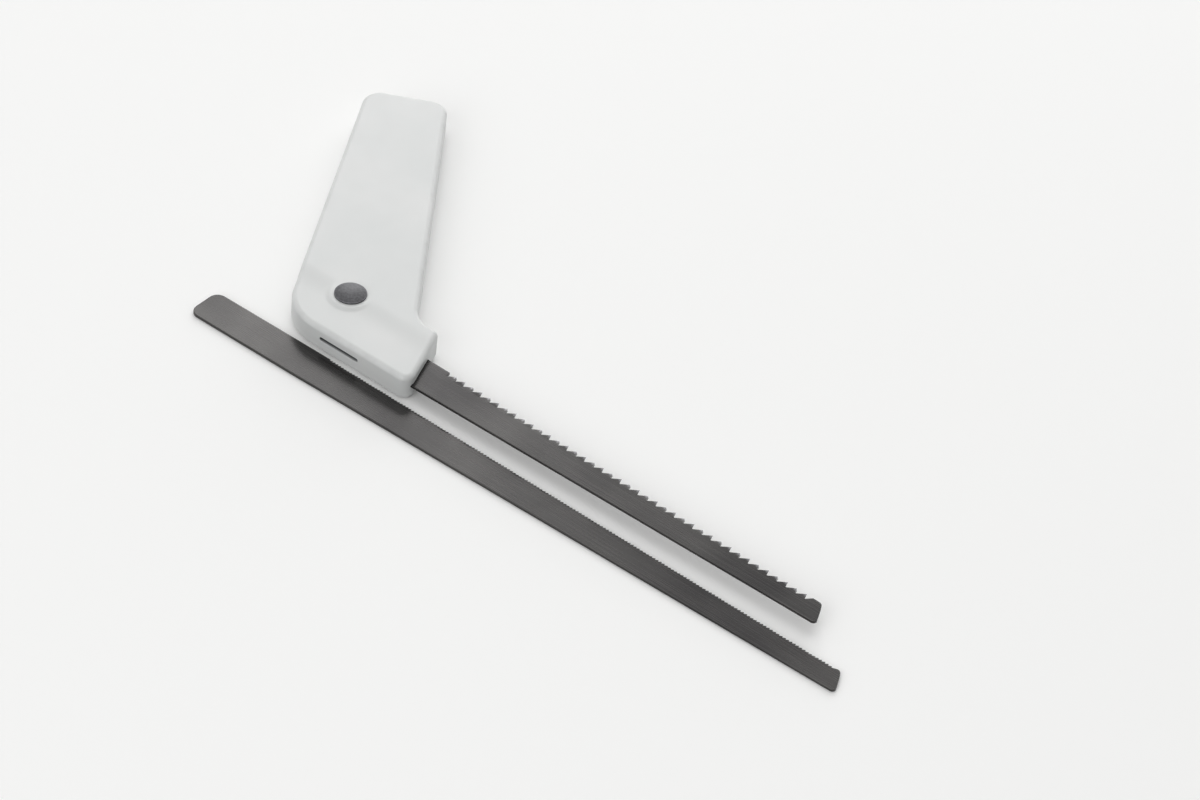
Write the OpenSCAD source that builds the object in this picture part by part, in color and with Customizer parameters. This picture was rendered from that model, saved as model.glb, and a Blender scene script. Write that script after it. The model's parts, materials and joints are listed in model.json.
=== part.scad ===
// Padsaw with a one-piece cast pistol handle, two blade seats, a screw clamp and two blades.
// Millimetres. It lies on its side: +X along the fitted blade, +Y to the grip, +Z up.
// The origin is on the rest face under the middle of the grip.
// All outlines are laid out from the clamp axis, where both blade seats meet.

/* [Handle outline] */

// Clamp axis to the butt, along the back edge
grip_l = 102; // [80:1:130]
// Width of the grip across the butt
butt_w = 26.6; // [20:0.2:34]
// Lean of the back edge from square to the blade, degrees
back_lean = 29; // [18:0.5:40]
// Length of the nose's upper edge, from the neck to the nose end, before its rounds
nose_run = 8.3; // [7:0.1:14]
// Clamp axis to the nose's upper edge
nose_top = 5.4; // [4.5:0.1:9]
// Clamp axis to the nose end, along the blade
nose_reach = 34.2; // [26:0.2:46]
// Lean of the nose end from square to the blade, degrees
nose_lean = 19.5; // [8:0.5:30]
// Wall between the nose seat and the bottom edge
seat_wall = 2.2; // [1.4:0.1:5]
// Round of the two butt corners
butt_r = 6; // [3:0.5:10]
// Inside round of the neck, between the finger edge and the nose
neck_r = 9; // [5:0.5:14]
// Round of the nose's lower corner
nose_low_r = 3; // [2.5:0.5:7]
// Round of the nose's upper corner
nose_top_r = 2; // [1.8:0.1:4]

/* [Handle section] */

// Thickness of the grip
grip_t = 9.2; // [7:0.1:14]
// Depth by which the head's near face lies below the grip's
head_drop = 0.7; // [0.2:0.1:1.5]
// Round along both rims of the casting
edge_r = 1.6; // [0.8:0.1:1.7]
// Clamp axis down to the foot of the swell between the two near faces
swell_low = 7; // [5:0.1:7]
// Clamp axis up to the top of that swell
swell_high = 2.5; // [1:0.1:3]
// Radius of the round pad that brings the clamp level with the grip
pad_r = 6.6; // [5.5:0.1:9]
// Bevel of that pad's rim
pad_bevel = 0.4; // [0.2:0.1:0.8]

/* [Clamp] */

// Radius of the sleeve nut's plain domed head
disc_r = 4.85; // [4:0.05:6]
// Thickness of that head at its middle, above the pad
disc_t = 0.9; // [0.7:0.1:2]
// Height of that head's edge, under the dome
disc_edge = 0.5; // [0.3:0.05:0.6]
// Radius of the sleeve
sleeve_r = 2.3; // [2:0.1:3]
// Width across the sleeve's two flats
sleeve_flats = 3.9; // [3.4:0.1:4.4]
// Radius of the sleeve's thread
thread_r = 1.5; // [1.25:0.05:1.6]
// Depth of the recess for the screw head
recess_d = 2; // [1.5:0.1:2.6]
// Radius of the screw head
screw_r = 4.2; // [3.4:0.1:5.2]
// Thickness of the screw head
screw_t = 1.75; // [1:0.05:2]
// Width of the screwdriver slot
slot_w = 1.1; // [0.8:0.1:1.6]
// Depth of the screwdriver slot
slot_d = 0.9; // [0.5:0.1:1.2]
// Solid end left over the thread inside the plain head's side
sleeve_end = 1.2; // [0.8:0.1:2]
// Length by which the sleeve stops short of the screw head, to draw up on
draw_room = 0.5; // [0.3:0.1:1]

/* [Blades] */

// Thickness of both blades
blade_t = 0.9; // [0.7:0.05:1.4]
// Width at the heel, the same on both blades so that either fits either seat
heel_w = 12; // [10:0.2:16]
// Width at the toe
toe_w = 7.2; // [5:0.2:9]
// Length of the parallel heel, before the taper
heel_l = 40; // [30:1:60]
// Length of the fitted blade
fitted_l = 178; // [130:1:230]
// Length of the spare blade
spare_l = 225; // [150:1:280]
// Round of the heel's two corners
heel_r = 3; // [1:0.5:5]
// Distance that the toe's cut slants back towards the teeth
toe_slant = 2; // [0:0.5:5]
// Round of the toe's two corners
toe_r = 1.2; // [0.6:0.1:2]
// Tooth pitch of the fitted blade, for wood
coarse_pitch = 3.175; // [2.5:0.025:4.5]
// Tooth depth of the fitted blade
coarse_depth = 1.8; // [1:0.1:2.6]
// Sideways set of its alternate teeth
coarse_set = 0.12; // [0.05:0.01:0.2]
// Height below the teeth's feet at which that set begins
set_root = 0.4; // [0.2:0.05:0.8]
// Tooth pitch of the spare blade, for metal
fine_pitch = 1.06; // [0.8:0.01:1.6]
// Tooth depth of the spare blade
fine_depth = 0.6; // [0.4:0.05:0.9]
// Place of a tooth's point along its pitch, pointing away from the handle
tooth_lead = 0.82; // [0.5:0.01:0.95]
// Plain length between the parallel heel and the first tooth
tooth_start = 4; // [2:0.5:10]

/* [Clearances] */

// Room above and below a blade in its seat
seat_room = 0.2; // [0.1:0.05:0.5]
// Room at each edge of a blade in its seat
edge_room = 0.2; // [0.1:0.05:0.5]
// Room between the fitted blade's heel and the seat's end
heel_room = 0.3; // [0.2:0.1:1]
// Room between the nose seat and the sleeve that passes above it
sleeve_room = 0.1; // [0.05:0.05:0.5]
// Radial room of the sleeve in the casting
bore_room = 0.06; // [0.02:0.01:0.1]
// Radial room of the screw's thread in the sleeve
thread_room = 0.05; // [0.02:0.01:0.1]
// Radial room of the screw head in its recess
recess_room = 0.2; // [0.1:0.05:0.5]

/* [Lay-out] */

// Lean of the second seat, in line with the grip, from square to the blade, degrees
inline_lean = 32; // [24:0.5:40]
// Clamp axis back to the end of the nose seat
seat_back = 4; // [3:0.1:4.5]
// Clamp axis to the middle of the grip, where the origin is
hold_reach = 50; // [30:1:70]
// Gap between the handle's bottom edge and the spare blade's heel
spare_gap = 2.1; // [1.8:0.1:30]
// Clamp axis back to the spare blade's heel
spare_back = 34.8; // [0:0.2:60]
// Turn of the spare blade from the fitted one, degrees
spare_turn = 0.8; // [-2:0.1:1]

/* [Hidden] */

$fn = 96;

// Sizes that follow from the ones above
mid_z = grip_t / 2;
seat_h = blade_t + 2 * seat_room;
seat_w = heel_w + 2 * edge_room;
blade_y = -(sleeve_r + sleeve_room + seat_w / 2);
corner_r = seat_w / 2 - blade_y + seat_wall;
grip_way = [-sin(inline_lean), cos(inline_lean)];
heel_x = heel_room - seat_back;
disc_rise = disc_t - disc_edge;
dome_r = (disc_r * disc_r + disc_rise * disc_rise) / (2 * disc_rise);

// Facets of the casting's corners, of its rim rounds and of its swell
arc_n = 9;
rim_n = 6;
swell_n = 9;

// The finger edge runs from the neck to the butt's front corner
back_way = [-sin(back_lean), cos(back_lean)];
neck = [nose_reach - (nose_top - blade_y) * tan(nose_lean) - nose_run, nose_top];
finger = grip_l * back_way + (butt_w - corner_r) * [cos(back_lean), sin(back_lean)] - neck;
finger_lean = atan2(-finger[0], finger[1]);
// The casting's edges in turn: the outward normal's angle and the distance from the clamp axis
edges = [
    [270, corner_r],
    [360 + nose_lean, nose_reach * cos(nose_lean) + blade_y * sin(nose_lean)],
    [450, nose_top],
    [360 + finger_lean, neck * [cos(finger_lean), sin(finger_lean)]],
    [450 + back_lean, grip_l],
    [540 + back_lean, corner_r],
    [630, corner_r]
];
// The round after each edge: radius and sense, which is -1 for the neck's inside round
rounds = [[nose_low_r, 1], [nose_top_r, 1], [neck_r, -1], [butt_r, 1], [butt_r, 1], [corner_r, 1]];

// Where two edges meet, each taken in by d
function meet(a, b, d) = [
    (a[1] - d) * sin(b[0]) - (b[1] - d) * sin(a[0]),
    (b[1] - d) * cos(a[0]) - (a[1] - d) * cos(b[0])
] / sin(b[0] - a[0]);

// The round between edge i and the next, on an outline taken in by d
function bend(i, d) =
    let (s = rounds[i][1], r = rounds[i][0], c = meet(edges[i], edges[i + 1], s * r))
    [for (k = [0:arc_n])
        let (a = edges[i][0] + (edges[i + 1][0] - edges[i][0]) * k / arc_n)
        c + s * (r - s * d) * [cos(a), sin(a)]];

// The point of edge i at height y, on an outline taken in by d
function station(i, y, d) = [(edges[i][1] - d - y * sin(edges[i][0])) / cos(edges[i][0]), y];
function swell_y(k) = (swell_low + swell_high) * k / swell_n - swell_low;

// The whole outline taken in by d, anticlockwise from the nose's lower corner
function outline(d) = concat(
    bend(0, d),
    [for (k = [0:swell_n]) station(1, swell_y(k), d)],
    bend(1, d), bend(2, d), bend(3, d), bend(4, d),
    [for (k = [swell_n:-1:0]) station(5, swell_y(k), d)],
    bend(5, d)
);

// The near face's height at y: the head's, then an easy swell up to the grip's
function ease(t) = (1 - cos(180 * pow(t, 1.3))) / 2;
function near_z(y) =
    let (t = min(1, max(0, (y + swell_low) / (swell_low + swell_high))))
    grip_t - head_drop * (1 - ease(t));

// Outline indices of the swell's stations, and the faces of one side of the casting
bend_n = arc_n + 1;
nose_i = bend_n;
back_i = nose_i + swell_n + 1 + 4 * bend_n;
ring_n = back_i + swell_n + 1 + bend_n;
head_face = concat(
    [for (i = [back_i + swell_n:ring_n - 1]) i],
    [for (i = [0:nose_i]) i]
);
grip_face = concat([back_i], [for (i = [nose_i + swell_n:back_i - 1]) i]);
swell_faces = [for (k = [0:swell_n - 1])
    [back_i + swell_n - k, nose_i + k, nose_i + k + 1, back_i + swell_n - k - 1]];
side_faces = concat([head_face, grip_face], swell_faces);

function turned(f) = [for (i = [0:len(f) - 1]) f[i == 0 ? 0 : len(f) - i]];
function lifted(f, by) = [for (i = f) i + by];

// The solid casting: outlines stacked through both rim rounds, from the flat far face up
module casting() {
    far = [for (k = [rim_n:-1:0]) let (a = 90 * k / rim_n)
        for (p = outline(edge_r * (1 - cos(a))))
            [p[0], p[1], edge_r * (1 - sin(a))]];
    near = [for (k = [0:rim_n]) let (a = 90 * k / rim_n)
        for (p = outline(edge_r * (1 - cos(a))))
            [p[0], p[1], near_z(p[1]) - edge_r * (1 - sin(a))]];
    rings = 2 * (rim_n + 1);
    walls = [for (j = [0:rings - 2]) for (i = [0:ring_n - 1])
        let (n = (i + 1) % ring_n)
        [j * ring_n + i, (j + 1) * ring_n + i, (j + 1) * ring_n + n, j * ring_n + n]];
    near_faces = [for (f = side_faces) lifted(turned(f), (rings - 1) * ring_n)];
    polyhedron(concat(far, near), concat(side_faces, walls, near_faces));
}

// The round pad under the clamp, bevelled on the near side
module pad() {
    rotate_extrude()
        polygon([
            [0, mid_z],
            [pad_r, mid_z],
            [pad_r, grip_t - pad_bevel],
            [pad_r - pad_bevel, grip_t],
            [0, grip_t]
        ]);
}

// The seat in the nose, and the second seat in line with the grip, which meets the clamp
module seats() {
    translate([-seat_back, blade_y - seat_w / 2, mid_z - seat_h / 2])
        cube([seat_back + nose_reach + corner_r, seat_w, seat_h]);
    rotate([0, 0, inline_lean - 90])
        translate([-sleeve_r - sleeve_room, -seat_w / 2, mid_z - seat_h / 2])
            cube([sleeve_r + 3 * corner_r, seat_w, seat_h]);
}

// A round bar with two flats, from the base up
module flatted(r, across, h) {
    intersection() {
        cylinder(r = r, h = h);
        translate([-r, -across / 2, 0])
            cube([2 * r, across, h]);
    }
}

module clamp_holes() {
    translate([0, 0, -1])
        cylinder(r = screw_r + recess_room, h = recess_d + 1);
    cylinder(r = sleeve_r + bore_room, h = mid_z);
    translate([0, 0, mid_z - seat_h / 4])
        flatted(sleeve_r + bore_room, sleeve_flats + 2 * bore_room, grip_t);
}

module handle() {
    color([0.85, 0.85, 0.84])
        difference() {
            union() {
                casting();
                pad();
            }
            seats();
            clamp_holes();
        }
}

module clamp_nut() {
    foot = recess_d + draw_room;
    color([0.3, 0.3, 0.31])
        difference() {
            union() {
                translate([0, 0, grip_t])
                    rotate_extrude()
                        intersection() {
                            square([disc_r, disc_t]);
                            translate([0, disc_t - dome_r])
                                circle(r = dome_r, $fn = 8 * $fn);
                        }
                translate([0, 0, foot])
                    flatted(sleeve_r, sleeve_flats, grip_t - foot);
            }
            translate([0, 0, foot - 1])
                cylinder(r = thread_r, h = grip_t - sleeve_end - foot + 1);
        }
}

module clamp_screw() {
    color([0.45, 0.45, 0.46])
        difference() {
            union() {
                translate([0, 0, recess_d - screw_t])
                    cylinder(r = screw_r, h = screw_t);
                translate([0, 0, recess_d])
                    cylinder(r = thread_r - thread_room, h = grip_t - sleeve_end - recess_d - draw_room);
            }
            translate([-screw_r - 1, -slot_w / 2, recess_d - screw_t - 1])
                cube([2 * screw_r + 2, slot_w, slot_d + 1]);
        }
}

// Half the width of a blade of length l at the distance x from its heel
function half_w(x, l) =
    let (t = max(0, (x - heel_l) / (l - heel_l)))
    (heel_w + (toe_w - heel_w) * t) / 2;

// Quarter of a corner's round, from angle a
function corner(c, r, a) = [for (k = [0:4]) c + r * [cos(a + 22.5 * k), sin(a + 22.5 * k)]];

function tooth_from() = heel_l + tooth_start;
function tooth_count(l, pitch) = floor((l - toe_slant - toe_r - 1 - tooth_from()) / pitch);

// The smooth run of a blade's outline: along the back, round the toe and to the last tooth
function back_run(l) = concat(
    corner([heel_r, heel_r - heel_w / 2], heel_r, 180),
    [[heel_l, -heel_w / 2]],
    corner([l - toe_r, toe_r - half_w(l - toe_r, l)], toe_r, 270),
    corner([l - toe_slant - toe_r, half_w(l - toe_slant, l) - toe_r], toe_r, 0)
);
function heel_run() = concat(
    [[heel_l, heel_w / 2]],
    corner([heel_r, heel_w / 2 - heel_r], heel_r, 90)
);

// Tooth i: its foot, its point and the next foot
function tooth(i, l, pitch, depth) =
    let (
        x0 = tooth_from() + i * pitch,
        x1 = tooth_from() + (i + 1) * pitch,
        xp = x0 + tooth_lead * pitch
    )
    [[x0, half_w(x0, l) - depth], [xp, half_w(xp, l)], [x1, half_w(x1, l) - depth]];

// Fine teeth are cut straight into the outline
module fine_blade(l, pitch, depth) {
    n = tooth_count(l, pitch);
    last = tooth_from() + n * pitch;
    translate([0, 0, -blade_t / 2])
        linear_extrude(blade_t)
            polygon(concat(
                back_run(l),
                [[last, half_w(last, l)]],
                [for (i = [n - 1:-1:0]) for (k = [2, 1]) tooth(i, l, pitch, depth)[k]],
                [tooth(0, l, pitch, depth)[0]],
                [[tooth_from(), half_w(tooth_from(), l)]],
                heel_run()
            ));
}

// Coarse teeth stand on the plate, bent to either side in turn from a line below their feet
module coarse_blade(l, pitch, depth, set) {
    n = tooth_count(l, pitch);
    last = tooth_from() + n * pitch;
    translate([0, 0, -blade_t / 2])
        linear_extrude(blade_t)
            polygon(concat(
                back_run(l),
                [[last, half_w(last, l)]],
                [[last, half_w(last, l) - depth - set_root]],
                [[tooth_from(), half_w(tooth_from(), l) - depth - set_root]],
                [[tooth_from(), half_w(tooth_from(), l)]],
                heel_run()
            ));
    for (i = [0:n - 1]) {
        t = tooth(i, l, pitch, depth);
        foot = [0, 2 * set_root];
        translate([0, 0, set * (2 * (i % 2) - 1) - blade_t / 2])
            linear_extrude(blade_t)
                polygon([t[0] - foot, t[2] - foot, t[2], t[1], t[0]]);
    }
}

module fitted_blade() {
    color([0.38, 0.37, 0.37])
        translate([heel_x, blade_y, mid_z])
            coarse_blade(fitted_l, coarse_pitch, coarse_depth, coarse_set);
}

module spare_blade() {
    color([0.38, 0.37, 0.37])
        translate([-spare_back, -corner_r - spare_gap - heel_w / 2, blade_t / 2])
            rotate([0, 0, spare_turn])
                fine_blade(spare_l, fine_pitch, fine_depth);
}

translate([-hold_reach * grip_way[0], -hold_reach * grip_way[1], 0]) {
    handle();
    clamp_nut();
    clamp_screw();
    fitted_blade();
    spare_blade();
}
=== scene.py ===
import json
import logging
import math
from collections.abc import Callable
from dataclasses import dataclass, field
from enum import Enum
from functools import partial

import bmesh
import bpy
import numpy as np
from mathutils import Euler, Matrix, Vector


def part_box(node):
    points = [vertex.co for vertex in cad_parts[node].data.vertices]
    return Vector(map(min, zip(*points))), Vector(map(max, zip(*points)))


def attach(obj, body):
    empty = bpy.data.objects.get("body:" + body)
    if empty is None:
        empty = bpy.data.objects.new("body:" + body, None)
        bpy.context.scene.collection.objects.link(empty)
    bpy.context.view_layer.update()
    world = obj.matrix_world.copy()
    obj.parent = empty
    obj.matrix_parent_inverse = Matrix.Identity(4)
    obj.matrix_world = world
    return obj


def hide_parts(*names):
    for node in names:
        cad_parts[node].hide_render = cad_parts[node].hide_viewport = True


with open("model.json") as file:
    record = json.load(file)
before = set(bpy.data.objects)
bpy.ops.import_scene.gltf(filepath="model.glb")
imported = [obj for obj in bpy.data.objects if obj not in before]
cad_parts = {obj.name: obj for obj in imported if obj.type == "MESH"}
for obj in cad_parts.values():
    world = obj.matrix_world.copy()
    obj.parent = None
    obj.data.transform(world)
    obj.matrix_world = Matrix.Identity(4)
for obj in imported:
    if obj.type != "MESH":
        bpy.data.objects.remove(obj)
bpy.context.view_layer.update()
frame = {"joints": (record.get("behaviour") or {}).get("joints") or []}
LOG = logging.getLogger("padsaw")
MM = 0.001
SHARP_ANGLE = math.radians(32)
WHITE = (1, 1, 1, 1)
# Points this close in metres are merged: along a surface's seams and poles, and after a cut
SEAM_M = 1e-7
SLIVER_M = 5e-6
# Keeps a sine that is divided by off zero, and a tooth's number from rounding down
TINY = 1e-6
# A Mix node's sockets go by number, because each data type has inputs of the same names
FACTOR, FLOAT_A, FLOAT_B, COLOUR_A, COLOUR_B = 0, 2, 3, 6, 7
MIXED_COLOUR = 2

Pair = tuple[float, float]
Point = tuple[float, float, float]
Colour = tuple[float, float, float, float]
Shares = tuple[float, ...]
Array = np.ndarray
Mesh = bpy.types.Mesh
Tree = bpy.types.NodeTree
Socket = bpy.types.NodeSocket
Outputs = bpy.types.NodeOutputs
# Adds a node to one tree: add_node with its tree given
Adder = Callable[..., Outputs]
# A finish's coats, each a share and a tone, then what its gloss follows, then its height
Layers = tuple[list[tuple[Socket, str]], Socket, Socket]

# The clamp axis in the row frame, in millimetres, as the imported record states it
CLAMP = 1000 * np.array(
    next(j["pos_m"] for j in frame["joints"] if j["name"] == "screw_turn")[:2]
)


class ToothSet(Enum):
    """How a blade's teeth are bent aside to clear the kerf."""

    ALTERNATE = "alternate"
    WAVY = "wavy"


def linear(code: str) -> Colour:
    """Turns an sRGB hex colour to linear light.

    Args:
        code: six hex digits after a hash sign.
    Returns:
        Red, green, blue and an alpha of one.
    """
    srgb = [int(code[i : i + 2], 16) / 255 for i in (1, 3, 5)]
    return (*[c / 12.92 if c <= 0.04045 else ((c + 0.055) / 1.055) ** 2.4 for c in srgb], 1.0)


def fill(tree: Tree, node: bpy.types.Node, sockets: dict) -> None:
    """Sets a node's inputs.

    Args:
        tree: the node's tree.
        node: the node to set.
        sockets: input name or number, with a value or another node's output to link.
    """
    for key, value in sockets.items():
        if isinstance(value, Socket):
            tree.links.new(value, node.inputs[key])
        else:
            node.inputs[key].default_value = value


def add_node(tree: Tree, kind: str, sockets: dict, **settings: object) -> Outputs:
    """Adds a shader node with its settings, socket values and links.

    Args:
        tree: the node tree that takes the node.
        kind: the node's type name, less the ShaderNode that it starts with.
        sockets: input name or number, with a value or another node's output to link.
        **settings: the node's own properties.
    Returns:
        The new node's outputs.
    """
    node = tree.nodes.new("ShaderNode" + kind)
    for key, value in settings.items():
        setattr(node, key, value)
    fill(tree, node, sockets)
    return node.outputs


def per_mm(size: float) -> float:
    """The texture scale that gives features of a size in millimetres on Object coordinates."""
    return 1 / (size * MM)


def smooth(t: Array) -> Array:
    """The smooth step 3t^2 - 2t^3, with t held between 0 and 1."""
    t = np.clip(t, 0, 1)
    return t * t * (3 - 2 * t)


def unit(degrees: Array | float) -> Array:
    """Unit vectors in the plane at angles in degrees."""
    a = np.radians(degrees)
    return np.stack([np.cos(a), np.sin(a)], -1)


def lifted(flat: Array, z: Array | float) -> Array:
    """Points in the plane joined with their heights."""
    return np.concatenate([flat, np.broadcast_to(z, flat.shape[:-1])[..., None]], -1)


def flats_r(width: float, bearing: Array) -> Array:
    """A pair of flats' radius at bearings in radians: half their width over the bearing's sine."""
    return width / 2 / np.maximum(np.abs(np.sin(bearing)), TINY)


def round_off(radius: float, past: Array) -> Array:
    """How far a round has fallen back, at distances past its start: r - sqrt(r^2 - past^2)."""
    return radius - np.sqrt(np.maximum(0, radius**2 - np.maximum(0, past) ** 2))


def grid_faces(rows: int, columns: int, wrapped: bool = False) -> Array:
    """Quads of a rows by columns grid of vertices, numbered row by row; each row is closed.

    Args:
        rows: the number of rows of vertices.
        columns: the number of vertices in a row.
        wrapped: whether the last row joins the first.
    Returns:
        One row of four vertex numbers for each quad.
    """
    r = np.arange(rows if wrapped else rows - 1)[:, None]
    c = np.arange(columns)[None, :]
    r1, c1 = (r + 1) % rows, (c + 1) % columns
    corners = [r * columns + c, r * columns + c1, r1 * columns + c1, r1 * columns + c]
    return np.stack(np.broadcast_arrays(*corners), -1).reshape(-1, 4)


def bar_faces(rows: int, columns: int) -> Array:
    """Quads of a closed bar: rows that close on themselves, and a cap across each end.

    A cap's quads join a row's first half to its second half, which runs back beside it.

    Args:
        rows: the number of rows of vertices along the bar.
        columns: the even number of vertices in a row.
    Returns:
        One row of four vertex numbers for each quad.
    """
    k = np.arange(columns // 2 - 1)
    cap = np.stack([k, k + 1, columns - 2 - k, columns - 1 - k], -1)
    last = (rows - 1) * columns
    return np.concatenate([grid_faces(rows, columns), cap[:, ::-1], last + cap])


def heal(mesh: Mesh, reach: float) -> None:
    """Merges a mesh's close points and drops the faces that this closes up.

    Args:
        mesh: the mesh to heal.
        reach: how close the points lie, in metres.
    """
    work = bmesh.new()
    work.from_mesh(mesh)
    bmesh.ops.remove_doubles(work, verts=work.verts, dist=reach)
    bmesh.ops.dissolve_degenerate(work, edges=work.edges, dist=reach)
    work.to_mesh(mesh)
    work.free()


def mark(mesh: Mesh, name: str, values: Array) -> None:
    """Writes a value for each of a mesh's points as an attribute that its finish reads."""
    layer = mesh.attributes.new(name, "FLOAT", "POINT")
    layer.data.foreach_set("value", values.astype(np.float32).ravel())


@dataclass
class Surface:
    """A mesh in the making: points in millimetres, quads and a value at each point.

    Attributes:
        points: coordinates along the last axis, vertex by vertex.
        faces: one row of four vertex numbers for each quad.
        wear: how exposed each vertex is to wear, from 0 to 1.
    """

    points: Array
    faces: Array
    wear: Array

    def __post_init__(self) -> None:
        """Sets the points out as one row of three coordinates for each vertex."""
        self.points = self.points.reshape(-1, 3)

    def volume(self) -> float:
        """Finds the volume that the faces enclose, as a sum of corner products.

        Returns:
            Six times the volume, below zero if the faces turn inwards.
        """
        p = self.points[self.faces]
        volume = np.einsum("ij,ij->", p[:, 0], np.cross(p[:, 1], p[:, 2]))
        return volume + np.einsum("ij,ij->", p[:, 0], np.cross(p[:, 2], p[:, 3]))

    def mesh(self) -> Mesh:
        """Makes the mesh in metres, closed at its poles and with its faces outwards.

        Returns:
            The finished mesh.
        """
        faces = self.faces if self.volume() > 0 else self.faces[:, ::-1]
        made = bpy.data.meshes.new("surface")
        made.from_pydata(self.points * MM, [], faces.tolist())
        mark(made, "wear", self.wear)
        heal(made, SEAM_M)
        return made


def coordinates(mesh: Mesh) -> Array:
    """Reads a mesh's points.

    Args:
        mesh: the mesh, in metres.
    Returns:
        One row of three coordinates in millimetres for each point.
    """
    points = np.empty(3 * len(mesh.vertices), np.float32)
    mesh.vertices.foreach_get("co", points)
    return points.reshape(-1, 3) / MM


def show(name: str, data: bpy.types.ID) -> bpy.types.Object:
    """Puts a new object with a mesh, lamp or camera in the scene.

    Args:
        name: the object's name.
        data: what it shows.
    Returns:
        The object, at the origin.
    """
    item = bpy.data.objects.new(name, data)
    bpy.context.scene.collection.objects.link(item)
    return item


def cut(mesh: Mesh, tools: list[Mesh]) -> Mesh:
    """Takes closed tool shapes out of a closed mesh.

    Args:
        mesh: the mesh to cut.
        tools: the meshes to take out of it.
    Returns:
        A new mesh with the cuts made.
    """
    blank = show("blank", mesh)
    helpers = [show("tool", tool) for tool in tools]
    for helper in helpers:
        step = blank.modifiers.new("cut", "BOOLEAN")
        step.operation, step.solver, step.object = "DIFFERENCE", "EXACT", helper
    graph = bpy.context.evaluated_depsgraph_get()
    done = bpy.data.meshes.new_from_object(blank.evaluated_get(graph))
    for item in (blank, *helpers):
        bpy.data.objects.remove(item)
    heal(done, SLIVER_M)
    return done


class Finish:
    """A finish that builds its own material: coats of colour, a gloss and a relief.

    Each finish has a title, its material's name; plain, the shader's inputs that are the same
    all over; base, the colour under its coats; roughness, its gloss's range; and relief, its
    bump's strength and depth in millimetres.
    """

    def layers(self, add: Adder, where: Socket, wear: Socket) -> Layers:
        """Adds the nodes of the finish's own pattern.

        Args:
            add: adds a node to the material.
            where: the Object coordinates.
            wear: how exposed the surface is, from 0 to 1.
        Returns:
            The finish's coats, what its gloss follows, and its height.
        """
        raise NotImplementedError

    def material(self) -> bpy.types.Material:
        """Builds the finish's material: each coat mixed over the last by its share.

        Returns:
            The material, on Object coordinates and the piece's own attributes.
        """
        made = bpy.data.materials.new(self.title)
        made.use_nodes = True
        tree = made.node_tree
        add = partial(add_node, tree)
        where = add("TexCoord", {})["Object"]
        wear = add("Attribute", {}, attribute_name="wear")["Fac"]
        coats, grain, height = self.layers(add, where, wear)
        colour = linear(self.base)
        for share, tone in coats:
            over = {FACTOR: share, COLOUR_A: colour, COLOUR_B: linear(tone)}
            colour = add("Mix", over, data_type="RGBA")[MIXED_COLOUR]
        low, high = self.roughness
        gloss = {"Value": grain, "From Min": 0.3, "From Max": 0.7, "To Min": low, "To Max": high}
        strength, depth = self.relief
        bump = {"Height": height, "Strength": strength, "Distance": depth * MM}
        surface = {
            "Base Color": colour,
            "Roughness": add("MapRange", gloss)[0],
            "Normal": add("Bump", bump)[0],
        }
        fill(tree, tree.nodes["Principled BSDF"], {**surface, **self.plain})
        return made


@dataclass(frozen=True)
class CastingPaint(Finish):
    """Light grey satin paint on a zinc die casting, sprayed and stoved.

    It gives the eye an even pale grey with a soft sheen, a faint orange peel, a slow drift of
    tone where the coat is thicker, dulled paint along the most exposed rims, and a dark grey
    inside the seats, partly the dull bare zinc that the spray doesn't reach and partly
    painted shade in the slots.
    """

    title = "satin_grey_casting_paint"
    plain = {"IOR": 1.5}
    base: str = "#D6D7D6"
    thick: str = "#D1D3D2"
    rubbed: str = "#C2C3C2"
    # The seats' dark grey: bare zinc, made darker as painted shade in the slots
    zinc: str = "#66676A"
    drift_mm: float = 26.0
    rub_mm: float = 3.5
    most_rub: float = 0.35
    peel_mm: float = 0.9
    roughness: Pair = (0.36, 0.46)
    relief: Pair = (0.35, 0.02)

    def layers(self, add: Adder, where: Socket, wear: Socket) -> Layers:
        """Adds the paint's drift, rubbed patches, seats of bare zinc and painted shade, and peel.

        Args:
            add: adds a node to the material.
            where: the Object coordinates.
            wear: how exposed the surface is, from 0 to 1.
        Returns:
            The finish's coats, what its gloss follows, and its height.
        """
        drift, patches, peel = (
            add("TexNoise", {"Vector": where, "Scale": per_mm(size), "Detail": detail})["Fac"]
            for size, detail in ((self.drift_mm, 2.0), (self.rub_mm, 4.0), (self.peel_mm, 1.0))
        )
        thick = add("MapRange", {"Value": drift, "From Min": 0.35, "From Max": 0.65})[0]
        patch = {"Value": patches, "From Min": 0.48, "From Max": 0.66, "To Max": self.most_rub}
        rub = add("MapRange", patch)[0]
        worn = add("Math", {0: rub, 1: wear}, operation="MULTIPLY")[0]
        # Darkens the seats' insides: partly bare zinc, partly painted shade in the slots
        inside = add("Attribute", {}, attribute_name="unpainted")["Fac"]
        coats = [(thick, self.thick), (worn, self.rubbed), (inside, self.zinc)]
        return coats, patches, peel


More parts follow.
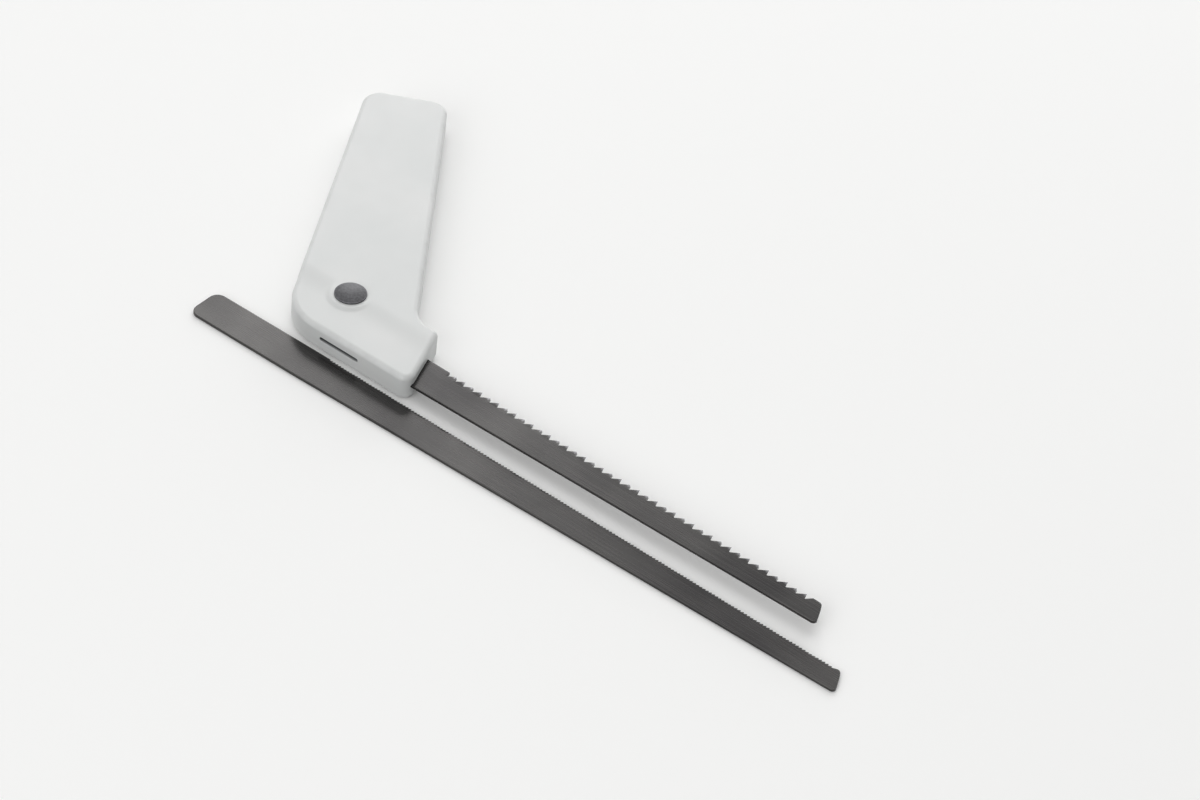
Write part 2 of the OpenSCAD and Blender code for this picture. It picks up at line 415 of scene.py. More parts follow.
@dataclass(frozen=True)
class BladeSteel(Finish):
    """Hardened carbon steel strip, tempered dark and ground along its length.

    It gives the eye a dark neutral grey metal with a satin gloss, fine lengthwise lines, slow
    changes of tone along the strip, and brighter bare steel at the points of the teeth. Real
    grinding lines are a tenth of these in width, too fine to show at this distance.

    Attributes:
        turn: the strip's turn in the plane, in degrees, which its grinding lines follow.
        cloud_at: how far along the strip its tones were taken, so that no two strips match.
    """

    title = "tempered_blade_steel"
    plain = {"Metallic": 0.9}
    turn: float
    cloud_at: float
    base: str = "#393838"
    light: str = "#4C4B4A"
    bare: str = "#8E8E90"
    cloud_mm: float = 42.0
    line_mm: float = 0.45
    line_length_mm: float = 30.0
    line_share: float = 0.2
    roughness: Pair = (0.24, 0.29)
    relief: Pair = (0.05, 0.02)

    def layers(self, add: Adder, where: Socket, wear: Socket) -> Layers:
        """Adds the steel's grinding lines, clouds of temper and bared points.

        Args:
            add: adds a node to the material.
            where: the Object coordinates.
            wear: how exposed the surface is, from 0 to 1.
        Returns:
            The finish's coats, what its gloss follows, and its height.
        """
        across = per_mm(self.line_mm)
        size = (per_mm(self.line_length_mm), across, across)
        turn = (0, 0, -math.radians(self.turn))
        along = add("Mapping", {"Vector": where, "Rotation": turn, "Scale": size})[0]
        moved = add("Mapping", {"Vector": where, "Location": (self.cloud_at * MM, 0, 0)})[0]
        lines, cloud = (
            add("TexNoise", {"Vector": at, "Scale": scale, "Detail": detail})["Fac"]
            for at, scale, detail in ((along, 1.0, 2.0), (moved, per_mm(self.cloud_mm), 3.0))
        )
        both = {FACTOR: self.line_share, FLOAT_A: cloud, FLOAT_B: lines}
        blend = add("Mix", both, data_type="FLOAT")[0]
        light = add("MapRange", {"Value": blend, "From Min": 0.36, "From Max": 0.62})[0]
        bare = add("MapRange", {"Value": wear, "From Min": 0.25, "From Max": 0.9})[0]
        return [(light, self.light), (bare, self.bare)], lines, lines


@dataclass(frozen=True)
class BlackenedSteel(Finish):
    """Turned steel, chemically blackened and oiled.

    It gives the eye a dark grey metal with a dull gloss, faint turning rings about the clamp
    axis, a mottled oxide, and a lighter line where the rim has been handled. Real turning
    rings are a third of these in width, too fine to show at this distance.
    """

    title = "blackened_turned_steel"
    plain = {"Metallic": 0.75}
    base: str = "#3A3A3C"
    thin: str = "#4E4E50"
    rubbed: str = "#7C7D81"
    mottle_mm: float = 0.7
    ring_mm: float = 0.35
    roughness: Pair = (0.28, 0.4)
    relief: Pair = (0.2, 0.02)

    def layers(self, add: Adder, where: Socket, wear: Socket) -> Layers:
        """Adds the steel's mottled oxide, rubbed rim and rings centred on the clamp axis.

        Args:
            add: adds a node to the material.
            where: the Object coordinates.
            wear: how exposed the surface is, from 0 to 1.
        Returns:
            The finish's coats, what its gloss follows, and its height.
        """
        noise = {"Vector": where, "Scale": per_mm(self.mottle_mm), "Detail": 3.0}
        mottle = add("TexNoise", noise)["Fac"]
        thin = add("MapRange", {"Value": mottle, "From Min": 0.35, "From Max": 0.65})[0]
        worn = add("Math", {0: wear, 1: mottle}, operation="MULTIPLY")[0]
        axis = (-CLAMP[0] * MM, -CLAMP[1] * MM, 0)
        centred = add("Mapping", {"Vector": where, "Location": axis})[0]
        # The wave's own period is a tenth of pi over its scale
        scale = per_mm(self.ring_mm) * math.pi / 10
        wave = {"Vector": centred, "Scale": scale, "Distortion": 0.6}
        rings = add("TexWave", wave, wave_type="RINGS", rings_direction="Z")["Fac"]
        return [(thin, self.thin), (worn, self.rubbed)], mottle, rings


def place(name: str, mesh: Mesh, node: str, body: str, finish: Finish) -> None:
    """Puts a finished mesh in the scene in the stead of a CAD node, and dresses it.

    Args:
        name: the piece's name.
        mesh: its mesh, in the row frame.
        node: the CAD node that it stands for.
        body: the CAD body that carries it.
        finish: what its surface is.
    """
    mesh.name = name
    mesh.shade_smooth()
    mesh.set_sharp_from_angle(angle=SHARP_ANGLE)
    piece = show(name, mesh)
    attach(piece, body)
    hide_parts(node)
    mesh.materials.clear()
    mesh.materials.append(finish.material())
    low, high = (np.array(v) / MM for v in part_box(node))
    points = coordinates(mesh)
    off = max(np.abs(points.min(0) - low).max(), np.abs(points.max(0) - high).max())
    LOG.info("%s: %d faces, box off its node's by %.2f mm", name, len(mesh.polygons), off)


@dataclass
class Seat:
    """A flat pocket for a blade's heel, drawn from the clamp axis out to its mouth.

    Attributes:
        angle: the way out, in degrees from +X.
        side: the seat's axis, to the left of the clamp axis as one looks out.
        back: where the seat ends behind the clamp axis.
        mouth: where its axis leaves the casting.
        lean: the slope of the mouth's wall across the seat, in degrees.
        spray: how far in from the mouth the paint reaches; past it, bare zinc and painted shade.
        past: how far the cutting tool runs on past the mouth.
        end_points: the points round each of its section's half circles.
        slack: how near its walls a point counts as on them.
    """

    angle: float
    side: float
    back: float
    mouth: float
    lean: float
    width: float = 12.4
    height: float = 1.3
    mid_z: float = 4.6
    flare: float = 0.06
    spray: float = 1.0
    past: float = 8.0
    end_points: int = 9
    slack: float = 0.01

    def tool(self) -> Mesh:
        """Lofts the seat's space: a slot with round ends carried out along its axis and flared.

        Each section is two half circles joined by straight sides, sheared by the mouth's slope
        so that the flare is even.

        Returns:
            A closed mesh to cut with.
        """
        past = np.array([-self.spray, -self.flare, self.flare, self.past])
        along = np.concatenate([[-self.back], self.mouth + past])
        half = (self.height / 2 + 2 * self.flare * np.array([0, 0, 0, 1, 1]))[:, None]
        lean = np.array([0, 1, 1, 1, 1]) * math.tan(math.radians(self.lean))
        turn = unit(np.linspace(-90, 90, self.end_points))
        end = np.concatenate([turn, -turn])
        side = np.repeat([1.0, -1.0], self.end_points) * (self.width - self.height) / 2
        y = side + end[:, 0] * half
        z = end[:, 1] * half
        x = along[:, None] + lean[:, None] * y
        across = unit(self.angle + 90.0)
        flat = x[..., None] * unit(self.angle) + (y + self.side)[..., None] * across
        points = lifted(flat + CLAMP, z + self.mid_z)
        return Surface(points, bar_faces(*z.shape), np.zeros(z.size)).mesh()

    def holds(self, points: Array) -> Array:
        """Finds the seat's walls of bare zinc and painted shade: in its section, past the spray.

        Args:
            points: one row of three coordinates for each point.
        Returns:
            True for each point that the paint doesn't reach, which is darkened as painted shade.
        """
        flat = points[:, :2] - CLAMP
        along = flat @ unit(self.angle)
        y = flat @ unit(self.angle + 90.0) - self.side
        z = points[:, 2] - self.mid_z
        slack = self.slack
        end = self.mouth - self.spray + slack + y * math.tan(math.radians(self.lean))
        section = (np.abs(y) < self.width / 2 + slack) & (np.abs(z) < self.height / 2 + slack)
        return section & (along > -self.back - slack) & (along < end)


@dataclass
class Handle:
    """The one-piece casting: a flat grip, a lower head, a pad, two seats and the clamp's holes.

    All sizes are millimetres and degrees, measured from the clamp axis. The fields from
    corner_steps on space the mesh: points round each corner and along each run of the outline,
    shares of the way out over a face and up the wall, and rings about the clamp.
    """

    grip_l: float = 102.0
    butt_w: float = 26.6
    back_lean: float = 29.0
    corner_r: float = 17.0
    nose_top: float = 5.4
    nose_reach: float = 34.2
    nose_lean: float = 19.5
    nose_run: float = 8.3
    nose_low_r: float = 3.0
    nose_top_r: float = 2.0
    neck_r: float = 9.0
    butt_r: float = 6.0
    blade_y: float = -8.6
    nose_seat_back: float = 4.0
    inline_lean: float = 32.0
    inline_seat_back: float = 2.4
    grip_t: float = 9.2
    head_drop: float = 0.7
    swell: Pair = (-7.0, 2.5)
    swell_ease: float = 1.3
    edge_r: float = 1.6
    pad_r: float = 6.6
    pad_soft: float = 1.7
    bore_r: float = 2.36
    bore_flats: float = 4.02
    recess_r: float = 4.4
    recess_d: float = 2.0
    recess_bevel: float = 0.25
    corner_steps: tuple[int, ...] = (24, 14, 18, 16, 16, 30)
    run_points: tuple[int, ...] = (44, 5, 90, 18, 150, 44)
    face_shares: Shares = (0.05, 0.12, 0.22, 0.35, 0.5, 0.66, 0.8, 0.9, 0.96)
    wall_shares: Shares = (0.03, 0.3, 0.5, 0.72, 0.97)
    head_rings: Shares = (2.8, 3.6, 4.6, 5.3)
    pad_rings: Pair = (8.0, 9.0)
    recess_rings: Pair = (1.2, 3.0)
    floor_ring: float = 3.4
    rim_gap: float = 0.22
    rim_steps: int = 10
    pad_steps: int = 12
    bore_steps: int = 7
    finish: CastingPaint = field(default_factory=CastingPaint)

    def edges(self) -> tuple[Array, Array]:
        """Lists the outline's straight edges in turn, anticlockwise from the bottom one.

        The finger edge runs from the neck to the front corner of the butt.

        Returns:
            The outward normals' angles and the distances from the clamp axis.
        """
        back, corner = self.back_lean, self.corner_r
        lean = math.radians(self.nose_lean)
        tip = self.nose_reach - (self.nose_top - self.blade_y) * math.tan(lean)
        neck = np.array([tip - self.nose_run, self.nose_top])
        butt = self.grip_l * unit(90 + back) + (self.butt_w - corner) * unit(back)
        finger = math.degrees(math.atan2(neck[0] - butt[0], butt[1] - neck[1]))
        angles = [270, 360 + self.nose_lean, 450, 360 + finger, 450 + back, 540 + back, 630]
        nose = self.nose_reach * math.cos(lean) + self.blade_y * math.sin(lean)
        at_finger = float(neck @ unit(finger))
        far = [corner, nose, self.nose_top, at_finger, self.grip_l, corner, corner]
        return np.array(angles, float), np.array(far)

    def outline(self, inset: Array) -> Array:
        """Draws the outline, taken in by each inset: round corners joined by straight runs.

        A corner's centre is where its two edges meet when both are moved in by its radius; its
        round is that centre plus the radius less the inset, swept between the edges' normals.
        The neck is hollow, so its signs turn round.

        Args:
            inset: the distances by which the outline is taken in.
        Returns:
            An array of insets by points by two.
        """
        angles, far = self.edges()
        radius = np.array(
            [self.nose_low_r, self.nose_top_r, self.neck_r, self.butt_r, self.butt_r, self.corner_r]
        )
        sense = np.array([1, 1, -1, 1, 1, 1])
        a, b = np.radians(angles[:-1]), np.radians(angles[1:])
        p, q = far[:-1] - sense * radius, far[1:] - sense * radius
        centre = np.stack([p * np.sin(b) - q * np.sin(a), q * np.cos(a) - p * np.cos(b)], -1)
        centre /= np.sin(b - a)[:, None]
        arcs = [
            centre[i]
            + (sense[i] * (radius[i] - sense[i] * inset))[:, None, None]
            * unit(np.linspace(angles[i], angles[i + 1], steps + 1))
            for i, steps in enumerate(self.corner_steps)
        ]
        parts = []
        for arc, following, run in zip(arcs, arcs[1:] + arcs[:1], self.run_points):
            t = np.linspace(0, 1, run + 2)[1:-1, None]
            start, end = arc[:, -1:], following[:, :1]
            parts += [arc, start + t * (end - start)]
        return np.concatenate(parts, 1)

    def near_z(self, y: Array) -> Array:
        """Finds the near face's height: the head's, then an easy swell up to the grip's.

        Args:
            y: places across the saw, from the clamp axis.
        Returns:
            The grip's height, less the drop by a half cosine over the swell.
        """
        low, high = self.swell
        t = np.clip((y - low) / (high - low), 0, 1) ** self.swell_ease
        return self.grip_t - self.head_drop * (1 + np.cos(np.pi * t)) / 2

    def body(self) -> Surface:
        """Wraps the casting in one closed grid of outline points by section steps.

        A section starts at the recess, runs out over the far face to its rim, round the rim's
        quarter circle, up the wall, round the near rim, in over the near face to the bore, and
        down the bore to the recess again. Both faces are drawn on rays from the clamp axis.

        Returns:
            The casting before its seats are cut.
        """
        phi = np.linspace(0, np.pi / 2, self.rim_steps + 1)
        drop = self.edge_r * (1 - np.sin(phi))
        rim = self.outline(self.edge_r * (1 - np.cos(phi)))
        reach = np.linalg.norm(rim[-1], axis=-1)
        ray = rim[-1] / reach[:, None]
        bearing = np.arctan2(ray[:, 1], ray[:, 0])

        def on_rays(radius: Array, height: Array | float) -> Array:
            """Points at a radius and height along every ray, as rows of points."""
            return lifted(radius[..., None] * ray, height)

        def rings(*radii: float) -> Array:
            """Circles about the clamp axis, one row for each radius."""
            return np.array(radii)[:, None] + 0 * reach

        def outward(start: float) -> Array:
            """Radii from a circle out to just inside the rim, closer together at the rim."""
            fill_in = start + np.array(self.face_shares)[:, None] * (reach - start)
            return np.concatenate([fill_in, reach[None] - self.rim_gap])

        recess = self.recess_r
        inner, outer = (recess + out for out in self.recess_rings)
        circles = rings(recess + self.recess_bevel, inner, outer)
        far_face = on_rays(np.concatenate([circles, outward(outer)]), 0.0)
        far_rim = lifted(rim, drop[:, None])[::-1]
        top = self.near_z(rim[..., 1]) - drop[:, None]
        wall_z = self.edge_r + np.array(self.wall_shares)[:, None] * (top[0] - self.edge_r)
        wall = lifted(np.broadcast_to(rim[0], (*wall_z.shape, 2)), wall_z)
        near_rim = lifted(rim, top)

        bore = np.minimum(self.bore_r, flats_r(self.bore_flats, bearing))
        soft = self.pad_r + self.pad_soft * np.linspace(-0.5, 0.5, self.pad_steps + 1)
        circles = rings(*self.head_rings, *soft, *self.pad_rings)
        radii = np.concatenate([bore[None], circles, outward(self.pad_rings[1])])[::-1]
        near = self.near_z(radii * ray[:, 1])
        proud = 1 - smooth((radii - self.pad_r) / self.pad_soft + 0.5)
        near_face = on_rays(radii, near + (self.grip_t - near) * proud)

        depth = np.linspace(self.grip_t, self.recess_d, self.bore_steps + 1)[1:-1, None]
        bore_wall = on_rays(np.broadcast_to(bore, (len(depth), len(bore))), depth)
        floor = on_rays(rings(self.bore_r, self.floor_ring, recess), self.recess_d)
        lip = on_rays(rings(recess), self.recess_bevel)

        sections = [far_face, far_rim, wall, near_rim, near_face, bore_wall, floor, lip]
        wear = [np.zeros(s.shape[:2]) for s in sections]
        wear[3] = rings(*np.sin(2 * phi))
        wear[1] = wear[3][::-1]
        points = np.concatenate(sections)
        faces = grid_faces(*points.shape[:2], wrapped=True)
        return Surface(points + np.array([*CLAMP, 0]), faces, np.concatenate(wear))

    def build(self) -> None:
        """Makes the casting, cuts both seats, marks them for bare zinc and painted shade, dresses
        it.
        """
        lean = self.inline_lean
        floor = self.corner_r / math.cos(math.radians(lean))
        nose = Seat(0.0, self.blade_y, self.nose_seat_back, self.nose_reach, -self.nose_lean)
        inline = Seat(lean - 90, 0.0, self.inline_seat_back, floor, lean)
        mesh = cut(self.body().mesh(), [nose.tool(), inline.tool()])
        points = coordinates(mesh)
        # The seats' walls past the spray get a dark grey: bare zinc and painted shade
        mark(mesh, "unpainted", nose.holds(points) | inline.holds(points))
        place("handle_casting", mesh, "handle", "handle", self.finish)


def revolve(radius: Array, height: Array, wear: Array) -> Surface:
    """Turns profiles about the clamp axis: point = axis + radius(row, bearing) and height(row).

    Args:
        radius: rows by bearings; the first and last rows are zero, at the poles.
        height: one height for each row.
        wear: one value for each row.
    Returns:
        The closed surface.
    """
    columns = radius.shape[1]
    bearing = np.linspace(0, 360, columns, endpoint=False)
    points = lifted(radius[..., None] * unit(bearing) + CLAMP, height[:, None])
    return Surface(points, grid_faces(*radius.shape), np.repeat(wear, columns))


@dataclass
class ClampNut:
    """The clamp's near half: a low domed head on a sleeve with two flats and a blind thread."""

    seat_z: float = 9.2
    head_r: float = 4.85
    wall: float = 0.38
    rim: float = 0.12
    rise: float = 0.4
    sleeve_r: float = 2.3
    sleeve_flats: float = 3.9
    foot_z: float = 2.5
    foot_bevel: Pair = (0.2, 0.25)
    thread_r: float = 1.5
    thread_top: float = 8.0
    bevel: float = 0.1
    hair: float = 0.02
    handled: float = 0.8
    handled_rows: int = 5
    dome_rows: int = 22
    dome_spread: float = 0.8
    rim_steps: int = 6
    columns: int = 144
    finish: BlackenedSteel = field(default_factory=BlackenedSteel)

    def build(self) -> None:
        """Turns the head and the sleeve as one profile and dresses it.

        The dome falls with the square of the radius, the rim is a quarter circle, and the
        sleeve's radius is cut off at its flats.
        """
        flat = self.head_r - self.rim
        shoulder = self.seat_z + self.wall + self.rim
        dome_r = flat * np.linspace(0, 1, self.dome_rows) ** self.dome_spread
        dome_z = shoulder + self.rise * (1 - (dome_r / flat) ** 2)
        phi = np.linspace(0, np.pi / 2, self.rim_steps + 1)[1:]
        rim_r = flat + self.rim * np.sin(phi)
        rim_z = shoulder - self.rim * (1 - np.cos(phi))
        under = [self.head_r, self.head_r - self.bevel]
        under_z = [self.seat_z + self.bevel, self.seat_z]
        foot_in, foot_up = self.foot_bevel
        sleeve = [self.sleeve_r, self.sleeve_r, self.sleeve_r, self.sleeve_r - foot_in]
        sleeve_z = [self.seat_z, self.seat_z - self.hair, self.foot_z + foot_up, self.foot_z]
        bore = [self.thread_r + self.bevel, self.thread_r, self.thread_r, 0.0]
        bore_z = [self.foot_z, self.foot_z + self.bevel, self.thread_top, self.thread_top]
        height = np.concatenate([dome_z, rim_z, under_z, sleeve_z, bore_z])
        profile = np.concatenate([dome_r, rim_r, under, sleeve, bore])
        bearing = np.linspace(0, 2 * np.pi, self.columns, endpoint=False)
        radius = np.repeat(profile[:, None], self.columns, 1)
        first = len(dome_r) + len(rim_r) + len(under)
        flatted = slice(first, first + len(sleeve))
        radius[flatted] = np.minimum(radius[flatted], flats_r(self.sleeve_flats, bearing))
        wear = np.zeros(len(profile))
        edge = len(dome_r) - 1
        wear[edge : edge + self.handled_rows] = self.handled
        mesh = revolve(radius, height, wear).mesh()
        place("clamp_nut_domed", mesh, "clamp_nut", "nut", self.finish)


@dataclass
class ClampScrew:
    """The clamp's far half: a slotted cheese head, sunk in the casting, and a threaded shank.

    Attributes:
        slot_bevel: how far the slot widens at its mouth, and over what depth.
        slot_past: how far the slot's cutting tool runs on below the head and past its sides.
        thread_fade: where the thread starts past the head, and the height of its start.
        tip: the height of the shank's tapered end.
        tip_depths: how far that end lies in from the crest, at its foot and at its top.
    """

    head_r: float = 4.2
    head_z: Pair = (0.25, 2.0)
    face_rings: Shares = (0.0, 0.8, 1.6, 2.4, 3.2)
    edge: float = 0.3
    edge_steps: int = 6
    slot_w: float = 1.1
    slot_d: float = 0.9
    slot_bevel: float = 0.12
    slot_past: Pair = (0.6, 1.0)
    crest_r: float = 1.45
    thread_d: float = 0.26
    thread_fade: Pair = (0.4, 0.5)
    pitch: float = 0.5
    pitch_steps: int = 8
    top: float = 7.5
    tip: float = 0.3
    tip_depths: Pair = (0.1, 0.4)
    hair: float = 0.02
    handled: float = 0.7
    columns: int = 96
    finish: BlackenedSteel = field(default_factory=BlackenedSteel)

    def slot_tool(self) -> Mesh:
        """Makes the screwdriver slot's space, a bar across the head that widens at its mouth.

        Returns:
            A closed mesh to cut with.
        """
        low = self.head_z[0]
        below, beyond = self.slot_past
        z = np.array([low - below, low, low + self.slot_bevel, low + self.slot_d])
        half = self.slot_w / 2 + self.slot_bevel * np.array([1, 1, 0, 0])
        x = np.array([-1, 1, 1, -1]) * (self.head_r + beyond)
        y = np.array([-1, -1, 1, 1]) * half[:, None]
        flat = np.stack(np.broadcast_arrays(x, y), -1) + CLAMP
        points = lifted(flat, z[:, None])
        return Surface(points, bar_faces(*y.shape), np.zeros(y.size)).mesh()

    def build(self) -> None:
        """Turns the head, winds the thread, cuts the slot and dresses the screw.

        The thread's radius falls from the crest by a triangle wave of height over pitch less
        the bearing's share of a turn, which starts gently past the head.
        """
        low, high = self.head_z
        start, rise = self.thread_fade
        phi = np.linspace(0, np.pi / 2, self.edge_steps + 1)
        face = np.array(self.face_rings)
        edge_r = self.head_r - self.edge * (1 - np.sin(phi))
        edge_z = low + self.edge * (1 - np.cos(phi))
        shank_z = np.arange(high + self.hair, self.top - self.tip, self.pitch / self.pitch_steps)
        shank = np.full(len(shank_z), self.crest_r)
        end = [self.crest_r - depth for depth in self.tip_depths] + [0.0]
        end_z = [self.top - self.tip, self.top, self.top]
        profile = np.concatenate([face, edge_r, [self.head_r, self.crest_r], shank, end])
        face_z = np.full(len(face), low)
        height = np.concatenate([face_z, edge_z, [high, high], shank_z, end_z])
        bearing = np.linspace(0, 1, self.columns, endpoint=False)
        radius = np.repeat(profile[:, None], self.columns, 1)
        wave = 2 * np.abs((shank_z[:, None] / self.pitch - bearing) % 1 - 0.5)
        fade = smooth((shank_z - high - start) / rise)[:, None]
        radius[-len(end) - len(shank) : -len(end)] -= self.thread_d * wave * fade
        wear = np.zeros(len(profile))
        wear[len(face) : len(face) + len(phi)] = self.handled
        mesh = cut(revolve(radius, height, wear).mesh(), [self.slot_tool()])
        place("clamp_screw_slotted", mesh, "clamp_screw", "screw", self.finish)


@dataclass
class Blade:
    """A tapered blade: a parallel heel, a toothed edge and a slanted, rounded toe.

    Attributes:
        name: the piece's name.
        node: the CAD node and body that it stands for.
        at: the middle of its heel's end, from the clamp axis.
        turn: its turn in the plane, in degrees.
        mid_z: the middle of its thickness.
        length: from heel to toe.
        pitch: from tooth to tooth.
        depth: from a tooth's foot to its point.
        bend: the teeth's sideways set.
        tooth_set: the pattern of that set.
        steps: stations along one tooth, as shares of the pitch.
        rise: the tooth's height at those stations, as shares of its depth.
        cloud_at: how far along the strip its steel's tones were taken.
        toe_knee: the shares of the toe's run and fall where its upper round meets the slant.
        toe_bow: the power that bows the slant.
        toe_room: the least plain edge between the last tooth and the toe.
        edge_up: the softened lower edge's levels, as shares of its softness.
        edge_in: how far the section lies in from its face, as shares of that softness.
        flank: the last plain level, as a share of the way to where the teeth lean aside.
        highest: the most of the blade's width that may lie below there.
        below_foot: how far below the teeth's feet they start to lean aside.
        edge_wear: how far the toothed edge's corners are bared.
        edge_band: how near a corner counts as on it.
    """

    name: str
    node: str
    at: Pair
    turn: float
    mid_z: float
    length: float
    pitch: float
    depth: float
    bend: float
    tooth_set: ToothSet
    steps: Shares
    rise: Shares
    cloud_at: float
    thick: float = 0.9
    heel_w: float = 12.0
    toe_w: float = 7.2
    heel_l: float = 40.0
    heel_r: float = 3.0
    toe_slant: float = 2.0
    toe_r: float = 1.2
    toe_knee: Pair = (0.3, 0.09)
    toe_bow: float = 1.15
    toe_room: float = 1.0
    first: float = 44.0
    run_out: float = 1.6
    edge: float = 0.18
    edge_up: Shares = (0.0, 0.3, 1.0, 1.6)
    edge_in: Shares = (1.0, 0.3, 0.0, 0.0, 0.0, 0.0, 0.0)
    flank: float = 0.94
    highest: float = 0.98
    below_foot: float = 0.05
    fleam: float = 16.0
    wave_mm: float = 9.0
    edge_wear: float = 0.35
    edge_band: float = 0.02
    hair: float = 0.01
    heel_points: int = 10
    plain_points: int = 24
    toe_points: int = 26

    def half(self, x: Array) -> Array:
        """Half the width at x: parallel along the heel, then a straight taper to the toe."""
        t = np.maximum(0, (x - self.heel_l) / (self.length - self.heel_l))
        return (self.heel_w + (self.toe_w - self.heel_w) * t) / 2

    def stations(self) -> tuple[Array, float]:
        """Spaces the cross-sections along the blade, closest at the teeth and the rounds.

        Returns:
            The stations and the end of the last tooth.
        """
        corner = self.length - self.toe_slant - self.toe_r
        count = int((corner - self.toe_room - self.first) / self.pitch)
        last = self.first + count * self.pitch
        heel = self.heel_r * (1 - np.cos(np.linspace(0, np.pi / 2, self.heel_points)))
        plain = np.linspace(self.heel_r, self.first, self.plain_points)[1:-1]
        tooth = np.arange(count)[:, None] + np.array(self.steps[:-1])
        teeth = self.first + self.pitch * tooth.ravel()
        swing = np.sin(np.linspace(0, np.pi / 2, self.toe_points))
        toe = corner + (self.length - corner) * swing
        step = np.array([self.first - self.hair, last, last + self.run_out])
        return np.unique(np.concatenate([heel, plain, teeth, step, toe])), last

    def edges(self, x: Array, last: float) -> tuple[Array, Array]:
        """Draws the blade's two long edges.

        The lower edge follows the taper. The upper edge is the taper less the gullets, a saw
        wave of the pitch, and both close in as circles at the heel and along the slant at the
        toe.

        Args:
            x: the stations.
            last: the end of the last tooth.
        Returns:
            The lower and the upper edge at the stations.
        """
        half = self.half(x)
        gullet = np.interp((x - self.first) / self.pitch % 1, self.steps, self.rise)
        run_out = np.interp(x, [last, last + self.run_out], [0.0, 1.0])
        lift = np.where(x < self.first, 1.0, np.where(x > last, run_out, gullet))
        heel = round_off(self.heel_r, self.heel_r - x)
        corner = self.length - self.toe_slant - self.toe_r
        t = np.clip((x - corner) / (self.length - corner), 0, 1)
        knee, drop = self.toe_knee
        slant = drop + (1 - drop) * (np.maximum(0, t - knee) / (1 - knee)) ** self.toe_bow
        fall = np.where(t < knee, drop * (t / knee) ** 2, slant)
        high = half - self.depth + self.depth * lift - heel - fall * (self.toe_w - self.toe_r)
        low = heel - half + round_off(self.toe_r, x - self.length + self.toe_r)
        return np.minimum(low, high), high

    def section(self) -> Surface:
        """Carries the blade's section along its length.

        The section runs up the near side from a softened lower edge to the toothed one, and
        back down the far side. Above their feet the teeth lean aside by their set, and
        alternate teeth are filed at an angle, which shifts them along by their depth in the
        thickness.

        Returns:
            The closed blade at rest on its own axis.
        """
        x, last = self.stations()
        low, high = self.edges(x, last)
        foot = self.half(x) - self.depth
        span = high - low
        soft = np.minimum(self.edge, span / 4)
        crease = np.minimum(foot - self.below_foot, low + self.highest * span)
        h = self.thick / 2
        edge = [low + share * soft for share in self.edge_up]
        levels = np.stack([*edge, low + self.flank * (crease - low), crease, high])
        near = np.stack([h - share * soft for share in self.edge_in])
        y = np.concatenate([levels, levels[::-1]])
        z = np.concatenate([near, -near[::-1]])

        toothed = (x >= self.first) & (x <= last)
        weight = np.clip((y - foot) / self.depth, 0, 1) * toothed
        along = x + 0 * z
        if self.tooth_set is ToothSet.ALTERNATE:
            tooth = np.floor((x - self.first) / self.pitch + TINY)
            side = np.where(tooth % 2 == 0, -1.0, 1.0)
            along = x + side * z * math.tan(math.radians(self.fleam)) * weight
        else:
            side = np.sin(2 * np.pi * (x - self.first) / self.wave_mm)
            z = z - z * weight * self.bend / h
        z = z + self.bend * side * weight
        corners = (np.abs(z) > h - self.edge_band) * (y > high - self.edge_band)
        worn = np.maximum(weight**2, self.edge_wear * corners)
        points = np.stack([along, y, z], -1).transpose(1, 0, 2)
        return Surface(points, bar_faces(*points.shape[:2]), worn.T)

    def build(self) -> None:
        """Makes the blade, sets it in its place and dresses it."""
        made = self.section()
        flat = made.points[:, :1] * unit(self.turn) + made.points[:, 1:2] * unit(self.turn + 90)
        made.points[:, :2] = flat + np.array(self.at) + CLAMP
        made.points[:, 2] += self.mid_z
        steel = BladeSteel(self.turn, self.cloud_at)
        place(self.name, made.mesh(), self.node, self.node, steel)


